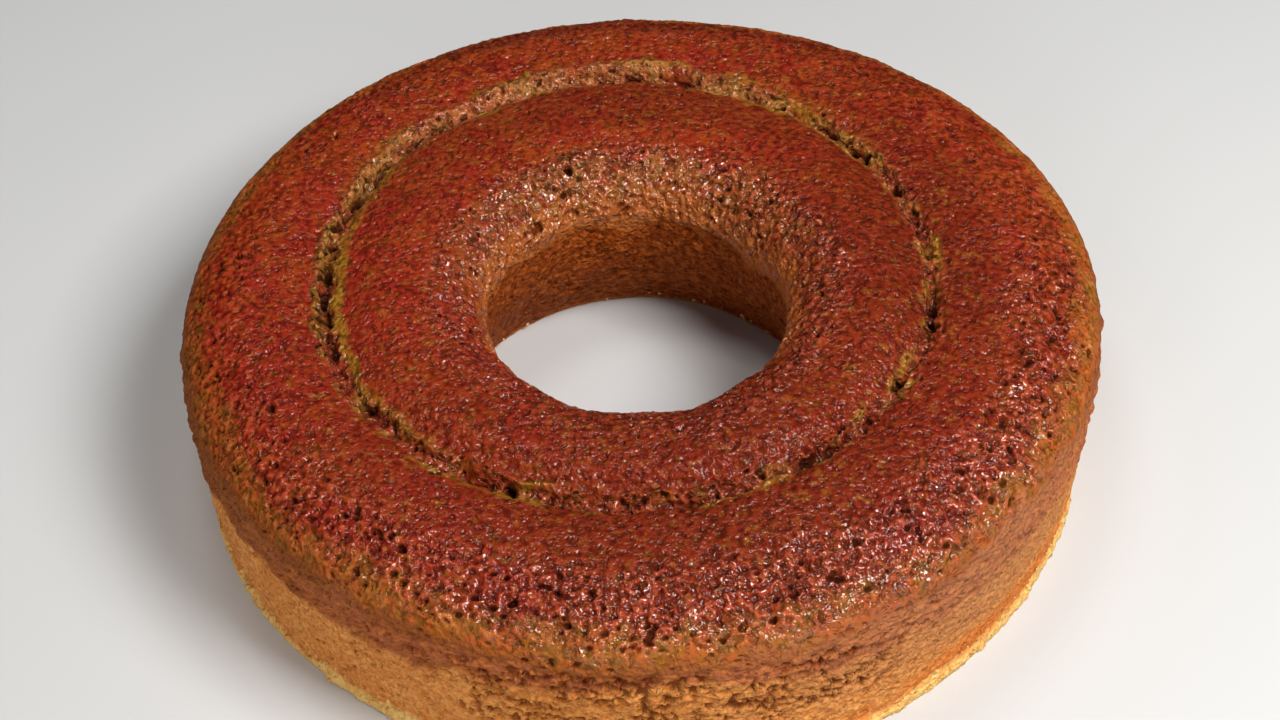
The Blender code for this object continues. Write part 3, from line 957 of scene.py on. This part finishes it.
def baked_material():
    """The whole cake's finish: dry tan crumb at the side, oily red-brown crust over the top."""
    paint_by = Shading("baked_cake")
    share, product, mix, spread = paint_by.share, paint_by.product, paint_by.mix, paint_by.spread
    coarse = share("coarse")
    crusty = paint_by.most(share("crust"), product(share("olive"), 0.85))
    bent = paint_by.bent(1.6, 1.2)
    large, small = paint_by.hollows(bent, 2.5, 0.45), paint_by.hollows(bent, 1.5, 0.30)
    swell, grain, fine = (paint_by.mottle(size, 0.0) for size in (2.9, 1.7, 1.0))

    shader = paint_by.shader.inputs
    base = surface_colour(paint_by, coarse, crusty, grain)
    shade = pit_shade(paint_by, coarse, crusty, grain, large, small)
    # Painted shade darkens pits, pores, hollows, gaps and the grain's low ground.
    base = mix(shade, base, mix(crusty, WALL_PIT_SHADE_BROWN, PIT_SHADE_BROWN))
    paint_by.feed(shader["Base Color"], base)

    oil = product(share("oily"), spread(shade, 0.35, 0.85, 1.0, 0.0),
                  spread(coarse, 0.0, 0.7, 0.38, 1.0))
    paint_by.feed(shader["Coat Weight"], oil)
    shader["Coat Roughness"].default_value = 0.085
    shader["Coat IOR"].default_value = 1.75
    shader["Roughness"].default_value = 0.7
    shader["Specular IOR Level"].default_value = 0.06

    bumps = paint_by.sum(product(swell, spread(coarse, 0.0, 1.0, 0.25, 1.0)),
                         product(grain, spread(coarse, 0.0, 1.0, 0.5, 1.2)),
                         product(fine, spread(crusty, 0.0, 0.6, 0.75, 0.4)))
    dips = paint_by.sum(product(large, -0.85), product(small, -0.5))
    dips = product(dips, spread(coarse, 0.0, 0.5, 0.55, 1.0))
    paint_by.relief(paint_by.sum(bumps, dips))
    return paint_by.material


def crumb_material():
    """The clinging crumbs' dry pale finish."""
    paint_by = Shading("clinging_crumb")
    tone = paint_by.spread(paint_by.mottle(3.0), 0.35, 0.65)
    paint_by.feed(paint_by.shader.inputs["Base Color"], paint_by.mix(tone, TAN, PALE_YELLOW))
    paint_by.shader.inputs["Roughness"].default_value = 0.85
    paint_by.relief(paint_by.product(paint_by.mottle(0.4), 0.1))
    return paint_by.material


# The floor's grey is a little cool, to balance the warm light.
FLOOR_GREY = (0.60, 0.635, 0.68, 1.0)


def stage_material():
    """The plain pale floor."""
    material = bpy.data.materials.new("pale_floor")
    material.use_nodes = True
    shader = material.node_tree.nodes["Principled BSDF"]
    shader.inputs["Base Color"].default_value = FLOOR_GREY
    shader.inputs["Roughness"].default_value = 0.6
    return material


# -------------------------------------------------------------- stage, light and camera

CAMERA_TARGET = (-0.9, 24.6, 0.0)
CAMERA_ELEVATION, CAMERA_DISTANCE, CAMERA_ROLL = 45.2, 750.0, -1.4
CAMERA_LENS = 72.0


def build_camera():
    """The photograph's viewing angle."""
    rise = math.radians(CAMERA_ELEVATION)
    back = Vector((0.0, -math.cos(rise), math.sin(rise)))
    place = (Vector(CAMERA_TARGET) + back * CAMERA_DISTANCE) * MM
    lens = bpy.data.cameras.new("camera")
    lens.sensor_width = 36.0
    lens.sensor_fit = "HORIZONTAL"
    lens.lens = CAMERA_LENS
    camera = new_piece("camera", lens)
    turn = Matrix.Rotation(0.5 * math.pi - rise, 4, "X") @ Matrix.Rotation(
        math.radians(CAMERA_ROLL), 4, "Z")
    camera.matrix_world = Matrix.Translation(place) @ turn
    bpy.context.scene.camera = camera


WARM_WHITE = (1.0, 0.94, 0.86)
SURROUND_WHITE, SURROUND_STRENGTH = (1.0, 0.98, 0.95, 1.0), 0.05
CAKE_TOP_M, CAKE_MIDDLE_M = (0.0, 0.0, 0.04), (0.0, 0.0, 0.03)


def soft_light(name, place_m, aim_m, size_m, watts, glints=True):
    """A square soft light that faces a point, and shows in the gloss unless told otherwise."""
    light = bpy.data.lights.new(name, "AREA")
    light.size = size_m
    light.energy = watts
    light.color = WARM_WHITE
    lamp = new_piece(name, light)
    lamp.visible_glossy = glints
    lamp.location = place_m
    lamp.rotation_euler = (Vector(aim_m) - Vector(place_m)).to_track_quat("-Z", "Y").to_euler()


def build_stage():
    """A plain pale floor, an even pale surround, and soft studio light from above."""
    bpy.ops.mesh.primitive_plane_add(size=8.0)
    floor = bpy.context.object
    floor.name = "floor"
    floor.data.materials.append(stage_material())
    world = bpy.data.worlds.new("surround")
    world.use_nodes = True
    surround = world.node_tree.nodes["Background"].inputs
    surround["Color"].default_value = SURROUND_WHITE
    surround["Strength"].default_value = SURROUND_STRENGTH
    bpy.context.scene.world = world
    soft_light("key", (0.46, -0.29, 0.80), CAKE_TOP_M, 0.42, 11.0)
    soft_light("overhead", (-0.15, 0.10, 0.95), CAKE_TOP_M, 0.25, 1.5)
    soft_light("left_fill", (-1.0, 0.3, 1.0), CAKE_MIDDLE_M, 0.8, 2.5, glints=False)
    soft_light("front_fill", (-0.35, -1.3, 0.45), CAKE_MIDDLE_M, 0.8, 8.5, glints=False)
    bpy.context.scene.view_settings.view_transform = "Standard"


# ------------------------------------------------------------------------------- the cake

def build_cake():
    """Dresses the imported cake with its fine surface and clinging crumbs."""
    ring = Ring()
    surface, points = build_surface(ring)
    surface.data.materials.append(baked_material())
    crumbs = build_crumbs(ring, points)
    crumbs.data.materials.append(crumb_material())
    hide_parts("cake")
    for piece in (surface, crumbs):
        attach(piece, "root")


build_cake()
build_stage()
build_camera()
